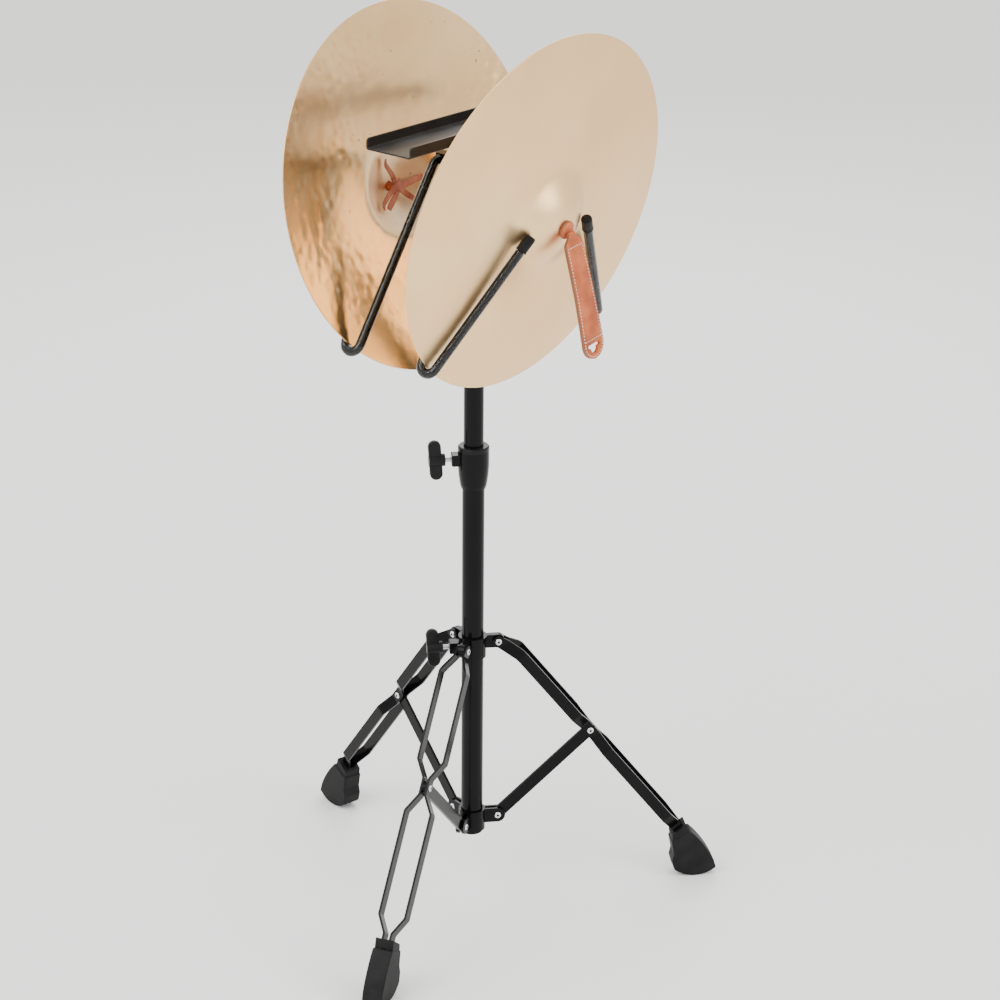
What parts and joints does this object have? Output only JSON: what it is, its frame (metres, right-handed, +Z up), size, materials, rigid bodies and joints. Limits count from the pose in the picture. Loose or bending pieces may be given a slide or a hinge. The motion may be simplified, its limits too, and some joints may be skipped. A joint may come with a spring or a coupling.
{
  "type": "hand cymbals on cradle stand",
  "caption": "Facing bronze hand cymbals with leather straps, resting in a height-adjustable folding tripod cradle with a small tray.",
  "frame": {"origin": "on the floor, on the axis of the pole", "axes": "+Z up along the pole, the cymbals face each other along X, the tray and the pairs of hooks run along Y"},
  "size_m": [0.5576, 0.5772, 1.1774],
  "materials": {
    "bronze": "polished cymbal bronze, satin outside and hammered inside",
    "clear_sleeve": "clear soft PVC tube over the rods",
    "black_rubber": "matt moulded rubber",
    "black_rod": "gloss black coated steel wire",
    "bright_rivet": "bright domed rivet heads",
    "matte_knob": "moulded matt black plastic",
    "steel_screw": "grey zinc-plated steel",
    "black_nylon": "black nylon",
    "tan_leather": "tan vegetable-tanned leather with pale stitching",
    "brown_leather": "brown leather lacing",
    "black_paint": "gloss black powder coat"
  },
  "bodies": {
    "stand_base": {"lower_tube": "black_paint", "tube_end_plug": "matte_knob", "height_clamp": "black_paint", "clamp_bush": "black_nylon", "lower_collar": "black_paint", "lower_rivets": "bright_rivet"},
    "height_knob": {"height_wing_knob": "matte_knob", "height_screw": "steel_screw"},
    "collar": {"upper_collar": "black_paint"},
    "collar_knob": {"collar_wing_knob": "matte_knob", "collar_screw": "steel_screw"},
    "upper_pole": {"upper_tube": "black_paint", "tube_glide": "black_nylon"},
    "cradle": {"cross_head": "black_paint", "head_screw": "steel_screw", "tray_flange": "black_paint", "tray": "black_paint", "tray_screws": "steel_screw", "rod_back_left": "black_rod", "rod_back_right": "black_rod", "rod_cap_back_left": "black_rubber", "rod_cap_back_right": "black_rubber", "rod_cap_front_left": "black_rubber", "rod_cap_front_right": "black_rubber", "rod_front_left": "black_rod", "rod_front_right": "black_rod", "sleeve_back_left": "clear_sleeve", "sleeve_back_right": "clear_sleeve", "sleeve_front_left": "clear_sleeve", "sleeve_front_right": "clear_sleeve"},
    "leg_1": {"leg_1_foot": "black_rubber", "leg_1_left_bar": "black_paint", "leg_1_right_bar": "black_paint", "leg_1_rivets": "bright_rivet"},
    "brace_1": {"brace_1": "black_paint"},
    "leg_2": {"leg_2_foot": "black_rubber", "leg_2_left_bar": "black_paint", "leg_2_right_bar": "black_paint", "leg_2_rivets": "bright_rivet"},
    "brace_2": {"brace_2": "black_paint"},
    "leg_3": {"leg_3_foot": "black_rubber", "leg_3_left_bar": "black_paint", "leg_3_right_bar": "black_paint", "leg_3_rivets": "bright_rivet"},
    "brace_3": {"brace_3": "black_paint"},
    "cymbal_front": {"cymbal_front": "bronze"},
    "strap_swivel_front": {"strap_washer_front": "brown_leather", "strap_knot_front": "brown_leather"},
    "strap_front": {"hand_strap_front": "tan_leather"},
    "cymbal_back": {"cymbal_back": "bronze"},
    "strap_swivel_back": {"strap_washer_back": "brown_leather", "strap_knot_back": "brown_leather"},
    "strap_back": {"hand_strap_back": "tan_leather"}
  },
  "joints": [
    {"name": "height_slide", "type": "slide", "parent": "stand_base", "child": "upper_pole", "axis": [0, 0, 1], "range_m": [-0.22, 0.22]},
    {"name": "height_knob_turn", "type": "hinge", "parent": "stand_base", "child": "height_knob", "pos_m": [-0.03221, -0.03666, 0.616], "axis": [-0.66, -0.7513, 0], "continuous": true},
    {"name": "collar_slide", "type": "slide", "parent": "stand_base", "child": "collar", "axis": [0, 0, 1], "range_m": [0, 0.0968]},
    {"name": "collar_knob_turn", "type": "hinge", "parent": "collar", "child": "collar_knob", "pos_m": [-0.03419, -0.03891, 0.356], "axis": [-0.66, -0.7513, 0], "continuous": true},
    {"name": "cradle_turn", "type": "hinge", "parent": "upper_pole", "child": "cradle", "pos_m": [0, 0, 0.9975], "axis": [0, 0, 1], "continuous": true},
    {"name": "leg_1_fold", "type": "hinge", "parent": "collar", "child": "leg_1", "pos_m": [0.02178, 0.02479, 0.362], "axis": [-0.7513, 0.66, 0], "range_deg": [0, 34.1]},
    {"name": "brace_1_fold", "type": "hinge", "parent": "stand_base", "child": "brace_1", "pos_m": [0.02244, 0.02554, 0.108], "axis": [0.7513, -0.66, 0], "range_deg": [0, 38]},
    {"name": "leg_2_fold", "type": "hinge", "parent": "collar", "child": "leg_2", "pos_m": [-0.03236, 0.00647, 0.362], "axis": [-0.1959, -0.9806, 0], "range_deg": [0, 34.1]},
    {"name": "brace_2_fold", "type": "hinge", "parent": "stand_base", "child": "brace_2", "pos_m": [-0.03334, 0.00666, 0.108], "axis": [0.1959, 0.9806, 0], "range_deg": [0, 38]},
    {"name": "leg_3_fold", "type": "hinge", "parent": "collar", "child": "leg_3", "pos_m": [0.01058, -0.03126, 0.362], "axis": [0.9472, 0.3206, 0], "range_deg": [0, 34.1]},
    {"name": "brace_3_fold", "type": "hinge", "parent": "stand_base", "child": "brace_3", "pos_m": [0.0109, -0.0322, 0.108], "axis": [-0.9472, -0.3206, 0], "range_deg": [0, 38]},
    {"name": "cymbal_front_lift", "type": "slide", "parent": "cradle", "child": "cymbal_front", "axis": [0.2135, 0, 0.9769], "range_m": [0, 0.26]},
    {"name": "strap_front_swivel", "type": "hinge", "parent": "cymbal_front", "child": "strap_swivel_front", "pos_m": [0.14215, 0, 0.94418], "axis": [0.9769, 0, -0.2135], "continuous": true},
    {"name": "strap_front_swing", "type": "hinge", "parent": "strap_swivel_front", "child": "strap_front", "pos_m": [0.14967, 0, 0.94254], "axis": [0.0191, -0.9936, -0.1112], "range_deg": [-18, 90]},
    {"name": "cymbal_back_lift", "type": "slide", "parent": "cradle", "child": "cymbal_back", "axis": [-0.2135, 0, 0.9769], "range_m": [0, 0.26]},
    {"name": "strap_back_swivel", "type": "hinge", "parent": "cymbal_back", "child": "strap_swivel_back", "pos_m": [-0.14215, 0, 0.94418], "axis": [-0.9769, 0, -0.2135], "continuous": true},
    {"name": "strap_back_swing", "type": "hinge", "parent": "strap_swivel_back", "child": "strap_back", "pos_m": [-0.14967, 0, 0.94254], "axis": [-0.0191, 0.9936, -0.1112], "range_deg": [-18, 90]}
  ],
  "couplings": [
    {"joint": "leg_1_fold", "follows": "collar_slide", "rad_per_m": 6.13},
    {"joint": "brace_1_fold", "follows": "collar_slide", "rad_per_m": 6.832},
    {"joint": "leg_2_fold", "follows": "collar_slide", "rad_per_m": 6.13},
    {"joint": "brace_2_fold", "follows": "collar_slide", "rad_per_m": 6.832},
    {"joint": "leg_3_fold", "follows": "collar_slide", "rad_per_m": 6.13},
    {"joint": "brace_3_fold", "follows": "collar_slide", "rad_per_m": 6.832}
  ]
}
